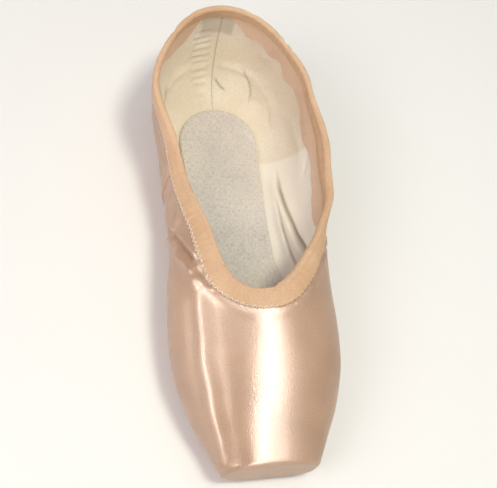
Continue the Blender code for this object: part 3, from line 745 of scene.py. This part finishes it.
def binding_half(side):
    """The binding's closed section on one side, at every row behind the throat, and its flat map."""
    rim, lining_rim, out, down = edge_frame(side)
    wall = np.linalg.norm(rim - lining_rim, axis=1)[:, None]
    run = running(rim)[:, None]
    place, fade = run * side, ease((run[-1] - run) / 10)
    pinch = sum(k * bell(RUN[throat:] - at, 2.0) for at, k in PINCHES[side])
    swell = 1 + fade * (0.18 * np.sin(place / 5.1 + 2 * np.sin(place / 17.0)) + 0.10 * np.sin(place / 2.3))
    swell = swell * (1 - 1.1 * pinch) + 0.3 * np.roll(pinch, 3, axis=0)
    leg = leg_depth(RUN[throat:])
    depth = (leg + 0.25 * fade * np.sin(place / 4.7)) * np.linspace(1, 0, LEG + 1)[:-1]
    share = np.clip(depth / leg, 0, 1)
    pucker = 0.12 * fade * np.sin(place * 1.9 + 1.5 * np.sin(place / 6.0)) * share ** 2
    lift = 0.55 + 0.55 * np.sin(math.pi * share ** 0.8) * swell + pucker
    step = np.zeros((len(run), 2 * LEG + CROWN))
    if side > 0:
        edge = 3.5 + 9.0 * np.linspace(0, 1, 2 * LEG + CROWN)
        step = 1.1 * ease((run - edge) / 0.7) * (1 - ease((run - 24) / 30)) - 0.5 * bell(run - edge, 0.9)
    step_out, step_over, step_in = np.split(step, (LEG, LEG + CROWN), axis=1)
    leg_out, way_out = below_edge(SKIN[side], rim, down, depth)
    leg_in, way_in = below_edge(INNER[side], lining_rim, down, depth)
    turn = np.linspace(0.06, math.pi - 0.06, CROWN)[:, None]

    def profile(lift_out, reach, lift_in, rise):
        """Points up the outer leg, over the edge and down the inner leg, at lifts above the wall."""
        over = out[:, None] * np.cos(turn) - down[:, None] * np.sin(turn) * rise
        return np.concatenate([
            leg_out + way_out * lift_out[..., None],
            0.5 * (rim + lining_rim)[:, None] + over * (0.5 * wall + reach)[..., None],
            (leg_in - way_in * lift_in[..., None])[:, ::-1],
        ], axis=1)

    reach = 0.75 + 0.30 * swell - 0.45 * pinch + step_over
    top = profile(lift + step_out, reach, lift + step_in[:, ::-1], 1.05)
    flat = np.full_like(depth, 0.12)
    under = profile(flat, 0.12, flat, 1.0)
    ring = np.concatenate([top, under[:, ::-1], top[:, :1]], axis=1)
    ring[[0, -1], :, 0] = 0
    v = np.r_[np.arange(top.shape[1]), np.arange(top.shape[1])[::-1], 0] * 0.6
    return flipped(ring, side), np.stack([run * side + 0 * v, v + 0 * run], axis=-1)


halves = [binding_half(side) for side in (-1, 1)]
binding = piece_of("collar_binding", [ring for ring, _ in halves], [flat for _, flat in halves])

# %% [markdown]
# ## The satin facing inside the collar
# Below the binding, satin is turned in and pasted to the lining. Its edge was cut by hand, so its depth
# wanders. Colour alone would give it no edge, so it is a thin sheet of its own.

# %% The facings
FACING = {
    # for each side: distance along the shoe and depth below the collar
    1: np.array([(79, 7), (104, 8), (118, 13), (130, 18), (142, 16.5), (150, 14.5), (167, 13.5), (185, 19),
                 (200, 16.5), (217, 18.5), (230, 22), (238, 15), (249, 18.5), (259, 16), (266, 17), (275, 9.5),
                 (BACK, 6)], float),
    -1: np.array([(79, 6), (205, 6), (218, 8), (236, 16), (250, 21.5), (258, 21), (264, 16), (271, 8),
                  (BACK, 6)], float),
}


def under_rim(grid, values, depth):
    """Points, and values that go with them, at depths below the top edge of each row of a grid."""
    lines = np.concatenate([grid, values], axis=-1)[:, ::-1]
    found = between(running(lines[..., :3]), np.moveaxis(lines, -1, 0), depth + np.zeros((len(grid), 1)))
    return np.stack(found[:3], -1), np.stack(found[3:], -1)


def overlay(name, points, ways, thickness, low=0.06, maps=None):
    """A strip of cloth on a surface: a closed sheet between two lifts along the surface's normals,
    thinner at its four edges."""
    row, column = (np.minimum(np.arange(n), np.arange(n)[::-1]) for n in points.shape[:2])
    high = low + thickness * (0.55 + 0.45 * ease(np.minimum.outer(row, column) / 2.0))
    near, far = points + ways * low, points + ways * high[..., None]
    flat = cloth_map(points) if maps is None else maps
    edges = np.s_[:, 0], np.s_[:, -1], 0, -1
    return piece_of(name, [near, far] + [np.stack([near[k], far[k]]) for k in edges],
                    [flat, flat] + [flat[k][None].repeat(2, 0) for k in edges])


def facing(name, side, first, last):
    """A facing between two places along the collar, from under the binding to its wandering edge."""
    rows = throat + np.where((along[throat:] >= first) & (along[throat:] <= last))[0]
    run = along[rows]
    deep = smooth(FACING[side], run)[:, 1] + 0.5 * np.sin(run / 5.3) * np.sin(run / 2.9 + 1)
    depth = 2.5 + (deep - 2.5)[:, None] * np.linspace(0, 1, 34)
    points, ways = under_rim(INNER[side][rows], NORMAL[rows], depth)
    flat = np.stack([run[:, None] * side + 0 * depth, depth], axis=-1)
    return overlay(name, *lifted(side, points, -ways), 0.32, 0.05, flat)


facings = facing("satin_facing_left", 1, 112, 280), facing("satin_facing_right", -1, 214, 272)

# %% [markdown]
# ## The insole and the outsole
# A sole could be a plan pushed down and bevelled. As a stack of rings, each the plan drawn in by a
# little at a certain height, it also gets a pared rim and a channel for its stitches.

# %% The soles
GAP, INSOLE_THICKNESS = 0.3, 3.0
CHANNEL_IN, CHANNEL_DEEP = 3.2, 2.32


def board(name, outline, top, steps, columns=40, crown=0.0):
    """A sole that follows the upper's underside. Each step is a distance in from the outline and one
    down from the top. The crown raises the middle of the top by a little."""
    rings = []
    for inwards, down in steps:
        out, station = inset(outline, inwards).T
        rings.append(np.column_stack([out, station, underside(station) + top(station) - down]))
    half = np.array(rings)
    share = np.linspace(1, -1, columns)[:, None, None]
    caps = [half[k][None] * np.concatenate([share, 1 + 0 * share, 1 + 0 * share], axis=2) for k in (0, -1)]
    caps[0][..., 2] += crown * (1 - share[..., 0] ** 2) * ease(np.maximum(half[0, :, 0], 0.1) / 12)
    grids = half, half * (-1, 1, 1), *caps
    return piece_of(name, [settled(grid) for grid in grids], [grid[..., :2] for grid in grids])


insole = board(
    "canvas_insole", half_plan(*INSOLE_TOE, INSOLE, 26), lambda s: wall_at(s) + GAP + INSOLE_THICKNESS,
    ((1.2, 0), (0.6, 0.12), (0.2, 0.45), (0, 0.9), (0, 2.4), (0.6, INSOLE_THICKNESS)), crown=0.35,
)
outsole_plan = half_plan(*OUTSOLE_TOE, OUTSOLE, 30)
outsole = board(
    "leather_outsole", outsole_plan, lambda s: np.full(len(s), -GAP),
    ((0.6, 0), (0.15, 0.12), (0, 0.4), (0, 1.3), (0.25, 1.55), (1.9, 2.66), (2.3, 2.8), (2.62, 2.8), (2.9, 2.5),
     (CHANNEL_IN, CHANNEL_DEEP), (3.5, 2.5), (3.78, 2.8)),
)

# %% [markdown]
# ## Seam bands and the back strip
# A narrow satin band covers each side seam, and a strip covers the seam at the back of the heel. Loose
# bands would cut through the creases, so they are sampled from the folded satin itself.

# %% Places on the satin
SIDE_SEAM, BAND_HALF, STRIP_HALF = 155, 3.25, 4.5


def strip_on(side, line, run, sole_edge, up):
    """A grid on the folded satin, and its normals, from beside the outsole to below the binding. Each
    row is as high as the shoe is at line, and its points lie at run, so that a row can slant."""
    skin = SKIN[side][np.rint(row_at(line)).astype(int)]
    out = np.hypot(skin[..., 0], np.maximum(skin[..., 1] - HEEL_CENTRE, 0))
    low = FLAT * (sole_edge - out[:, 0]) / (out[:, FLAT] - out[:, 0])
    high = FLAT + (SIDE - 1) * (1 - (DEPTH - 3.0) / running(skin[:, FLAT:])[:, -1])
    column = low[:, None] + (high - low)[:, None] * up
    return lifted(side, *sampled([SKIN[side], NORMAL], row_at(run), column))


def seam_band(name, side):
    """The band over a side seam, slanting towards the toe at its lower end."""
    across, up = np.linspace(-BAND_HALF, BAND_HALF, 12), np.linspace(0, 1, 60)
    run = SIDE_SEAM + across[:, None] + 7 * (up - 0.5)
    sole_edge = smooth(OUTSOLE, SIDE_SEAM + across)[:, 1] + 0.6
    grid, way = strip_on(side, SIDE_SEAM + across, run, sole_edge, up)
    flat = np.stack([run + 0 * up, 60 * up + 0 * run], axis=-1)
    return overlay(name, grid, way, 0.5, maps=flat), grid, way


def back_strip():
    """The strip over the back seam, a little narrower towards the sole."""
    up, halves = np.linspace(0, 1, 64), []
    for side, across in ((1, np.linspace(STRIP_HALF, 0, 8)), (-1, np.linspace(0, STRIP_HALF, 8)[1:])):
        run = BACK - across[:, None] * (0.72 + 0.28 * up)
        halves.append(strip_on(side, BACK - across, run, np.full(len(across), 19.6), up))
    grid, way = (np.concatenate(both) for both in zip(*halves))
    return overlay("back_strip", grid, way, 0.5), grid, way


band_left, band_right = seam_band("seam_band_left", 1), seam_band("seam_band_right", -1)
strip = back_strip()

# %% [markdown]
# ## Threads
# Stitches could be copies of one object, but as one mesh a whole row is worked out at once: a thin tube
# with six sides is bent over each pair of holes and dips into the cloth at both ends.

# %% Stitches
def threads(name, starts, ends, ways, radius, arch):
    """Tubes from starts to ends that stand up in the middle along the surface's normals."""
    ways = unit(ways)
    t = np.linspace(0, 1, 7)[None, :, None]
    line = starts[:, None] * (1 - t) + ends[:, None] * t + ways[:, None] * (arch * np.sin(math.pi * t) ** 0.7 - 0.06)
    thick = radius * np.sin(math.pi * np.linspace(0.02, 0.98, 7)) ** 0.35
    aside = unit(np.cross(unit(ends - starts), ways))
    turn = np.linspace(0, 2 * math.pi, 7)[None, None, :, None]
    ring = aside[:, None, None] * np.cos(turn) + ways[:, None, None] * np.sin(turn)
    tube = line[:, :, None] + ring * thick[None, :, None, None]
    tube[:, 0], tube[:, -1] = line[:, :1], line[:, -1:]
    faces = (tiles(7, 7)[None] + (np.arange(len(starts)) * 49)[:, None, None]).reshape(-1, 4)
    return mesh_of(name, tube.reshape(-1, 3), faces, weld=0.002)


def spaced(pitch, line, *others):
    """A line at an even pitch, and whatever goes with its points at the same places."""
    run = running(line)
    at = np.linspace(0, run[-1], int(run[-1] / pitch) + 1)
    return [np.column_stack([np.interp(at, run, column) for column in values.T]) for values in (line, *others)]


def stitches(pitch, gap, line, ways):
    """Starts, ends and normals of stitches along a line, with a gap that is a share of the pitch."""
    line, ways = spaced(pitch, line, ways)
    step = (line[1:] - line[:-1]) * gap
    return line[:-1] + step, line[1:] - step, ways[:-1]


def joined(rows):
    """Rows of stitches put one after another."""
    return [np.concatenate(values) for values in zip(*rows)]


def collar_line(side, beyond, lift):
    """A line on the outside of the collar that far beyond the binding's lower edge, and its normals."""
    rim, _, _, down = edge_frame(side)
    points, ways = below_edge(SKIN[side], rim, down, leg_depth(RUN[throat:]) + beyond)
    grid, way = lifted(side, points, ways)
    return (grid + way * lift)[:, 0], way[:, 0]


def zigzag(side):
    """Threads that sew the binding's lower edge to the satin, slanting to and fro."""
    (outer, _), (inner, way) = collar_line(side, 0.8, 0.2), collar_line(side, -1.3, 0.9)
    inner, outer, way = spaced(1.45, inner, outer, way)
    even = np.arange(len(inner))[:, None] % 2 == 0
    holes = np.where(even, inner, outer)
    return holes[:-1], holes[1:], way[:-1]


def channel_stitches():
    """Long stitches in the outsole's channel, with short gaps between them."""
    out, station = inset(outsole_plan, CHANNEL_IN).T
    half = np.column_stack([out, station, underside(station) - GAP - CHANNEL_DEEP])
    ring = np.concatenate([half, half[::-1][1:] * (-1, 1, 1)])
    return stitches(3.9, 0.11, settled(ring), np.tile([0.0, 0.0, -1.0], (len(ring), 1)))


def topstitches(grid, way):
    """Two rows of small stitches down a band, just inside its edges."""
    rows = []
    for row in (1.6, len(grid) - 2.6):
        k, t = int(row), row - int(row)
        rows.append(stitches(2.3, 0.16, grid[k] * (1 - t) + grid[k + 1] * t + way[k] * 0.52, way[k]))
    return rows


binding_stitches = threads("binding_stitches", *joined([zigzag(side) for side in (-1, 1)]), 0.18, 0.14)
sole_stitches = threads("sole_stitches", *channel_stitches(), 0.28, 0.1)
band_rows = [row for _, grid, way in (band_right, band_left, strip) for row in topstitches(grid, way)]
band_stitches = threads("band_stitches", *joined(band_rows), 0.13, 0.12)

# %% [markdown]
# ## Grain shared by the cloths
# A picture of cloth would repeat itself, so woven cloth is noise drawn out along the threads. One node
# group makes it at all scales, as bumps and as dark specks, from the cloth's own flat map.

# %% Nodes, and the group for woven cloth
def fill(made, links):
    """Inputs of a node set to values or linked to sockets. A name has underscores for spaces, and the
    letter i with a number names the input of that place. A colour may leave out its alpha."""
    for key, value in links.items():
        numbered = key[0] == "i" and key[1:].isdigit()
        socket = made.inputs[int(key[1:]) if numbered else key.replace("_", " ")]
        if isinstance(value, bpy.types.NodeSocket):
            made.id_data.links.new(value, socket)
        else:
            socket.default_value = (*value, 1) if socket.type == "RGBA" else value


def node(near, kind, settings=None, **links):
    """A shader node in the tree of a socket or a node that is near it, with its settings and inputs."""
    made = near.id_data.nodes.new("ShaderNode" + kind)
    for key, value in (settings or {}).items():
        setattr(made, key, value)
    fill(made, links)
    return made


def maths(operation, first, second=0.0):
    """The result of a sum on one or two sockets or numbers."""
    return node(first, "Math", {"operation": operation}, i0=first, i1=second).outputs[0]


def scaled(vector, by):
    """A vector multiplied by another."""
    return node(vector, "VectorMath", {"operation": "MULTIPLY"}, i0=vector, i1=by).outputs[0]


def ranged(value, low, high, to_low, to_high):
    """A value carried over from one range to another, and kept within it."""
    return node(value, "MapRange", Value=value, From_Min=low, From_Max=high, To_Min=to_low, To_Max=to_high).outputs[0]


def noise(vector, scale, detail=2.0, rough=0.5):
    """The value of a noise on a vector."""
    return node(vector, "TexNoise", Vector=vector, Scale=scale, Detail=detail, Roughness=rough).outputs["Fac"]


def woven_group():
    """Woven cloth: noise drawn out along the length and across, laid over each other, gives slubs. The
    height is their mean and the speck is where both are dark."""
    group = bpy.data.node_groups.new("Woven cloth", "ShaderNodeTree")
    for label, kind, value in (("Vector", "Vector", None), ("Threads", "Float", 1.0), ("Slub", "Float", 8.0)):
        socket = group.interface.new_socket(name=label, in_out="INPUT", socket_type="NodeSocket" + kind)
        if value is not None:
            socket.default_value = value
    for label in ("Height", "Speck"):
        group.interface.new_socket(name=label, in_out="OUTPUT", socket_type="NodeSocketFloat")
    given, result = group.nodes.new("NodeGroupInput"), group.nodes.new("NodeGroupOutput")
    fine = given.outputs["Threads"]
    drawn = maths("DIVIDE", fine, given.outputs["Slub"])
    layers = []
    for u, v in ((fine, drawn), (drawn, fine)):
        scale = node(group, "CombineXYZ", X=u, Y=v, Z=fine).outputs[0]
        layers.append(noise(scaled(given.outputs["Vector"], scale), 1.0))
    fill(result, {
        "Height": maths("MULTIPLY", maths("ADD", *layers), 0.5),
        "Speck": ranged(maths("MINIMUM", *layers), 0.34, 0.5, 1.0, 0.0),
    })
    return group


WOVEN = woven_group()
print("groups:", [group.name for group in bpy.data.node_groups])

# %% [markdown]
# ## Materials
# A plain gloss would look like plastic: satin is smooth in one direction only, so its highlight is drawn
# out along the shoe, and slightly mottled where the canvas under it shows through. The binding is
# duller. The canvas and the cotton are matt, with slubs, specks and stains, and the sole is tanned leather.

# %% Helpers for materials
def material(name, roughness, **constants):
    """A material with its Principled shader, and the constants that hold all over the surface."""
    made = bpy.data.materials.new(name)
    made.use_nodes = True
    shader = made.node_tree.nodes["Principled BSDF"]
    fill(shader, {"Roughness": roughness, **constants})
    return made, shader


def maps_of(shader):
    """The place in the shoe's own space, and the cloth's flat map."""
    return node(shader, "TexCoord").outputs["Object"], node(shader, "UVMap", {"uv_map": "cloth"}).outputs["UV"]


def tone(factor, low, high, dark, light):
    """A colour between dark and light as a factor goes from low to high."""
    ramp = node(factor, "ValToRGB", Fac=factor)
    for element, place, colour in zip(ramp.color_ramp.elements, (low, high), (dark, light)):
        element.position, element.color = place, (*colour, 1)
    return ramp.outputs["Color"]


def mixed(factor, first, second, blend="MIX"):
    """Two colours mixed by a factor."""
    return node(first, "Mix", {"data_type": "RGBA", "blend_type": blend}, i0=factor, i6=first, i7=second).outputs[2]


def finished(shader, colour, heights):
    """The shader's colour, and bumps laid over each other, each a height socket, a strength and a
    distance in millimetres."""
    normal = {}
    for height, strength, distance in heights:
        bump = node(shader, "Bump", Height=height, Strength=strength, Distance=distance * 0.001, **normal)
        normal = {"Normal": bump.outputs["Normal"]}
    fill(shader, {"Base_Color": colour, **normal})


# %% Satin
def satin(name, dark, light, sheen_tint, roughness=0.29, metallic=0.08, wrinkle=0.0, shine=0.75):
    """Satin cloth: two broad tones, fine mottling, threads across and a highlight drawn out lengthwise.
    Wrinkles lie across the cloth."""
    made, shader = material(
        name, roughness, Metallic=metallic, Anisotropic=0.88, Anisotropic_Rotation=0.25, Sheen_Weight=0.15,
        Sheen_Roughness=0.35, Sheen_Tint=sheen_tint, Specular_IOR_Level=shine, IOR=1.5)
    place, flat = maps_of(shader)
    broad, speckle = noise(place, 38.0, 3.0), noise(flat, 0.95, 2.0, 0.6)
    streaks = noise(scaled(flat, (2.2, 0.25, 1.0)), 1.0, 3.0)
    mottle = tone(noise(flat, 1.3, 3.0, 0.7), 0.28, 0.72, (0.76, 0.73, 0.70), (1.0, 1.0, 1.0))
    cloth = mixed(0.9, tone(broad, 0.32, 0.68, dark, light), mottle, "MULTIPLY")
    fill(shader, {"Roughness": ranged(speckle, 0.0, 1.0, roughness - 0.06, roughness + 0.10)})
    heights = [(broad, 0.1, 1.0), (speckle, 0.5, 0.13), (noise(flat, 1.6, 1.0), 0.5, 0.12), (streaks, 0.3, 0.05)]
    if wrinkle:
        wide = noise(scaled(flat, (0.35, 0.06, 1.0)), 1.0, 3.0)
        weave = node(shader, "Group", {"node_tree": WOVEN}, Vector=flat, Threads=1.8, Slub=5.0)
        heights += [(wide, 0.8, wrinkle), (weave.outputs["Height"], 0.6, 0.12)]
    finished(shader, cloth, heights)
    return made


SATIN = satin("peach_satin", (0.535, 0.345, 0.235), (0.625, 0.405, 0.28), (1.0, 0.90, 0.80))
# Painted light: the turned-in satin is matt, and lighter than the satin so that it stays bright in the collar's shade.
TURNED_SATIN_PAINTED_LIGHT = satin("turned_in_satin_painted_light", (0.88, 0.63, 0.46), (0.93, 0.69, 0.52), (1.0, 0.90, 0.80), 0.6, 0.0, 0.4, 0.35)
BINDING_SATIN = satin("binding_satin", (0.76, 0.49, 0.30), (0.85, 0.575, 0.365), (1.0, 0.90, 0.76), 0.6, 0.0, 1.2, 0.28)


# %% Canvas, cotton, leather and thread
def canvas(name, threads_per_mm, dark, light, speck_tone, stain, bump, seamed=False):
    """Plain woven cloth: a pale tone that wanders, dark specks between the slubs, soft stains, a greyer
    painted shadow where the piece is marked with it, a paler tone where it is marked so, and painted shade
    in its folds. A seamed cloth has a fine dark line where its flat map starts."""
    made, shader = material(name, 0.88, Sheen_Weight=0.12, Sheen_Roughness=0.6, Specular_IOR_Level=0.25)
    place, flat = maps_of(shader)
    weave = node(shader, "Group", {"node_tree": WOVEN}, Vector=flat, Threads=threads_per_mm, Slub=7.0)
    patch, pale, fold = (node(shader, "Attribute", {"attribute_name": mark}).outputs["Fac"]
                         for mark in ("patch", "pale", "fold"))
    if seamed:
        off_seam = maths("ABSOLUTE", node(shader, "SeparateXYZ", Vector=flat).outputs["X"])
        fold = maths("MAXIMUM", fold, ranged(off_seam, 0.15, 0.6, 0.45, 0.0))
    cloth = tone(noise(place, 45.0, 3.0), 0.3, 0.7, dark, light)
    blot = ranged(noise(place, 22.0, 4.0, 0.6), 0.52, 0.75, 0.0, 0.5)
    # The grey mark is a painted shadow, and the dark fold tone is painted shade; on a seamed cloth the seam's dark line
    # joins it.
    for factor, share, colour in (
        (weave.outputs["Speck"], 0.55, speck_tone), (blot, 1.0, stain), (patch, 0.6, (0.52, 0.45, 0.36)),
        (pale, 0.6, (0.97, 0.94, 0.89)), (fold, 0.9, (0.28, 0.20, 0.12)),
    ):
        cloth = mixed(maths("MULTIPLY", factor, share), cloth, colour)
    heights = [(weave.outputs["Height"], 0.6, bump), (noise(place, 160.0, 2.0), 0.3, 0.3)]
    finished(shader, cloth, heights)
    return made


def scored_leather():
    """Tan leather with fine grain, and diamonds scored across the front of the sole by two families of
    slanting lines: a line is where the place across it, in pitches, is near a half."""
    made, shader = material("sole_leather", 0.6, Specular_IOR_Level=0.4)
    place = node(shader, "TexCoord").outputs["Object"]
    parts = node(shader, "SeparateXYZ", Vector=place).outputs
    lines = []
    for slope in (0.62, -0.62):
        across = maths("ADD", parts["X"], maths("MULTIPLY", parts["Y"], slope))
        turn = maths("FRACT", maths("DIVIDE", across, 0.0078))
        lines.append(maths("ABSOLUTE", maths("SUBTRACT", turn, 0.5)))
    near = ranged(maths("MINIMUM", *lines), 0.0, 0.05, 1.0, 0.0)
    scored = maths("MULTIPLY", near, ranged(parts["Y"], -0.020, -0.024, 0.0, 1.0))
    hide = tone(noise(place, 60.0, 4.0), 0.3, 0.7, (0.40, 0.235, 0.085), (0.54, 0.34, 0.14))
    hide = mixed(maths("MULTIPLY", scored, 0.6), hide, (0.22, 0.11, 0.03))
    cut = maths("MULTIPLY", scored, -1.0)
    finished(shader, hide, [(cut, 0.8, 0.35), (noise(place, 900.0, 3.0), 0.3, 0.12)])
    return made


def thread_of(name, colour):
    """Thread: one colour, a little uneven, with fine bumps in place of its twist."""
    made, shader = material(name, 0.6, Sheen_Weight=0.2)
    place = node(shader, "TexCoord").outputs["Object"]
    uneven = tone(noise(place, 700.0), 0.3, 0.7, tuple(0.86 * c for c in colour), colour)
    finished(shader, uneven, [(noise(place, 2500.0), 0.4, 0.08)])
    return made


CANVAS = canvas("insole_canvas", 2.6, (0.70, 0.66, 0.62), (0.85, 0.81, 0.77), (0.40, 0.35, 0.30),
                (0.70, 0.61, 0.50), 0.14)
COTTON = canvas("lining_cotton", 3.0, (0.84, 0.75, 0.61), (0.92, 0.86, 0.76), (0.70, 0.59, 0.44),
                (0.74, 0.60, 0.43), 0.08, seamed=True)
LEATHER = scored_leather()
WHITE_THREAD = thread_of("white_thread", (0.93, 0.90, 0.84))
PEACH_THREAD = thread_of("peach_thread", (0.84, 0.60, 0.46))
floor.data.materials.append(material("pale_floor", 0.7, Base_Color=(0.92, 0.92, 0.92))[0])

# %% [markdown]
# ## Dressing the frame
# Every new piece gets its material, and the CAD nodes that it stands for are hidden. All of them ride on
# the one body of the shoe.

# %% Pieces, slots and nodes
dressed = (
    (satin_upper, SATIN, "satin", ["upper"]),
    (lining, COTTON, "insole_canvas", ["upper"]),
    (binding, BINDING_SATIN, "binding_satin", ["binding"]),
    (facings[0], TURNED_SATIN_PAINTED_LIGHT, "satin", []),
    (facings[1], TURNED_SATIN_PAINTED_LIGHT, "satin", []),
    (insole, CANVAS, "insole_canvas", ["insole"]),
    (outsole, LEATHER, "sole_leather", ["outsole"]),
    (band_right[0], SATIN, "satin", ["side_seam_band_right"]),
    (band_left[0], SATIN, "satin", ["side_seam_band_left"]),
    (strip[0], SATIN, "satin", ["back_seam_strip"]),
    (binding_stitches, WHITE_THREAD, "binding_satin", []),
    (sole_stitches, WHITE_THREAD, "sole_leather", []),
    (band_stitches, PEACH_THREAD, "satin", []),
)
for made, finish, slot, nodes in dressed:
    made.data.materials.append(finish)
    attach(made, "root")
    if nodes:
        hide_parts(*nodes)

# %% The box of the visual model
bpy.context.view_layer.update()
visual_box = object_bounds()
for name, box in (("CAD", cad_box), ("visual", visual_box)):
    print(name, "box in mm", [[round(1000 * c, 1) for c in corner] for corner in box])
